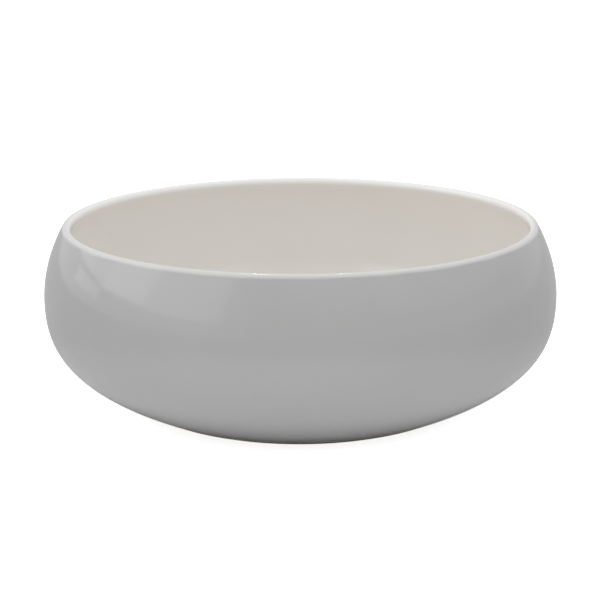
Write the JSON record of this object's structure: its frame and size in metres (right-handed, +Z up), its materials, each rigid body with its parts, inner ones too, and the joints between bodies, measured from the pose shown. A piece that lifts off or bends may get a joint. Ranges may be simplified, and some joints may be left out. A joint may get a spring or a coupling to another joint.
{
  "type": "glazed ceramic bowl",
  "caption": "Low round glazed ceramic bowl with an incurved wall, a rounded lip and a flat foot ring, for holding or evaporating liquids.",
  "frame": {"origin": "middle of the foot ring's flat underside, where the bowl's axis meets the table", "axes": "+Z up along the bowl's axis; the bowl is turned about it, so X and Y are free"},
  "size_m": [0.2, 0.2, 0.0724],
  "materials": {
    "fired_clay": "bare matt fired clay",
    "white_glaze": "glossy warm white glaze",
    "grey_glaze": "glossy light grey glaze",
    "base_grey_glaze": "glossy light grey glaze"
  },
  "bodies": {
    "root": {"clay_body": "fired_clay", "inside_glaze": "white_glaze", "outside_glaze": "grey_glaze", "base_glaze": "base_grey_glaze"}
  },
  "joints": []
}
